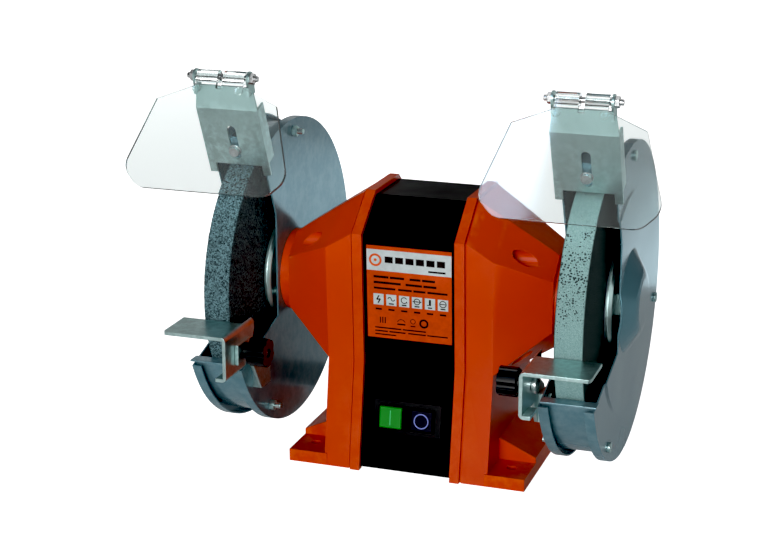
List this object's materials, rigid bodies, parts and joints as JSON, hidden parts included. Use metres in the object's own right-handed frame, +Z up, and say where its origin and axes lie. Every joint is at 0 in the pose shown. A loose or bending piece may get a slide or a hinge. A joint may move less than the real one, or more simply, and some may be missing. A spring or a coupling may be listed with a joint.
{
  "type": "bench grinder",
  "caption": "Twin-wheel electric bench grinder with a painted motor housing on bolt-down feet, wheel guards, tilting clear eye shields and adjustable tool rests.",
  "frame": {"origin": "centre of the footprint on the bench top, midway between the four foot holes", "axes": "+X along the shaft towards the fine wheel, -Y towards the operator, +Z up"},
  "size_m": [0.3664, 0.2494, 0.287],
  "materials": {
    "housing_paint": "glossy orange enamel on cast aluminium",
    "cover_black": "black, semi-gloss",
    "label_film": null,
    "switch_black": "moulded, satin",
    "button_green": "moulded, satin",
    "button_black": "moulded, with a pale ring",
    "guard_paint": "blue-grey gloss enamel on sheet steel",
    "zinc_steel": "zinc plated",
    "bright_steel": "turned and ground",
    "coarse_grit": "coarse vitrified abrasive",
    "fine_grit": "fine vitrified abrasive",
    "washer_card": "card",
    "clear_plastic": "clear moulded polycarbonate",
    "knob_black": "moulded, satin",
    "core_steel": "stacked laminations",
    "copper_wire": "enamelled winding wire",
    "can_plastic": "moulded",
    "block_plastic": "moulded"
  },
  "bodies": {
    "root": {"centre_cover": "cover_black", "floor_plate": "zinc_steel", "tie_bolts": "zinc_steel", "label_plate": "label_film", "switch_housing": "switch_black", "stator_core": "core_steel", "stator_windings": "copper_wire", "capacitor": "can_plastic", "capacitor_clip": "zinc_steel", "terminal_block": "block_plastic", "cord_gland": "switch_black", "end_bell_right": "housing_paint", "end_bell_left": "housing_paint", "bearing_outer_right": "bright_steel", "bearing_outer_left": "bright_steel", "guard_plate_right": "guard_paint", "guard_plate_left": "guard_paint", "guard_band_right": "guard_paint", "guard_band_left": "guard_paint", "guard_cover_right": "guard_paint", "guard_cover_left": "guard_paint", "guard_bolts_right": "zinc_steel", "guard_bolts_left": "zinc_steel", "guard_screws_right": "zinc_steel", "guard_screws_left": "zinc_steel", "slot_bolt_right": "bright_steel", "slot_bolt_left": "bright_steel", "rest_arm_right": "zinc_steel", "rest_arm_left": "zinc_steel", "rest_bolt_right": "bright_steel", "rest_bolt_left": "bright_steel"},
    "rotor": {"shaft": "bright_steel", "rotor_core": "core_steel", "rotor_rings": "bright_steel", "bearing_inner_right": "bright_steel", "bearing_inner_left": "bright_steel", "bearing_balls_right": "bright_steel", "bearing_balls_left": "bright_steel", "inner_flange_right": "zinc_steel", "inner_flange_left": "zinc_steel", "wheel_right": "fine_grit", "wheel_left": "coarse_grit", "wheel_washers_right": "washer_card", "wheel_washers_left": "washer_card", "outer_flange_right": "zinc_steel", "outer_flange_left": "zinc_steel", "wheel_nut_right": "zinc_steel", "wheel_nut_left": "zinc_steel"},
    "on_button": {"on_button": "button_green"},
    "off_button": {"off_button": "button_black"},
    "bracket_right": {"shield_bracket_right": "zinc_steel", "hinge_rod_right": "bright_steel"},
    "shield_right": {"eye_shield_right": "clear_plastic"},
    "rest_right": {"tool_rest_right": "zinc_steel"},
    "knob_right": {"rest_knob_right": "knob_black"},
    "bracket_left": {"shield_bracket_left": "zinc_steel", "hinge_rod_left": "bright_steel"},
    "shield_left": {"eye_shield_left": "clear_plastic"},
    "rest_left": {"tool_rest_left": "zinc_steel"},
    "knob_left": {"rest_knob_left": "knob_black"}
  },
  "joints": [
    {"name": "rotor_spin", "type": "hinge", "parent": "root", "child": "rotor", "pos_m": [0, 0, 0.127], "axis": [1, 0, 0], "continuous": true},
    {"name": "bracket_slide_right", "type": "slide", "parent": "root", "child": "bracket_right", "axis": [0, -0.3987, 0.9171], "range_m": [-0.003, 0.004]},
    {"name": "shield_hinge_right", "type": "hinge", "parent": "bracket_right", "child": "shield_right", "pos_m": [0.125, -0.07804, 0.28202], "axis": [-1, 0, 0], "range_deg": [-15, 100]},
    {"name": "rest_slide_right", "type": "slide", "parent": "root", "child": "rest_right", "axis": [0, 1, 0], "range_m": [-0.012, 0.003]},
    {"name": "knob_turn_right", "type": "hinge", "parent": "root", "child": "knob_right", "pos_m": [0.09, -0.11, 0.099], "axis": [1, 0, 0], "continuous": true},
    {"name": "bracket_slide_left", "type": "slide", "parent": "root", "child": "bracket_left", "axis": [0, -0.3987, 0.9171], "range_m": [-0.003, 0.004]},
    {"name": "shield_hinge_left", "type": "hinge", "parent": "bracket_left", "child": "shield_left", "pos_m": [-0.125, -0.07804, 0.28202], "axis": [-1, 0, 0], "range_deg": [-15, 100]},
    {"name": "rest_slide_left", "type": "slide", "parent": "root", "child": "rest_left", "axis": [0, 1, 0], "range_m": [-0.012, 0.003]},
    {"name": "knob_turn_left", "type": "hinge", "parent": "root", "child": "knob_left", "pos_m": [-0.09, -0.11, 0.099], "axis": [1, 0, 0], "continuous": true},
    {"name": "on_button_press", "type": "slide", "parent": "root", "child": "on_button", "axis": [0, 0.9895, -0.1444], "range_m": [0, 0.0022], "stiffness_N_per_m": 300},
    {"name": "off_button_press", "type": "slide", "parent": "root", "child": "off_button", "axis": [0, 0.9895, -0.1444], "range_m": [0, 0.0022], "stiffness_N_per_m": 300}
  ]
}
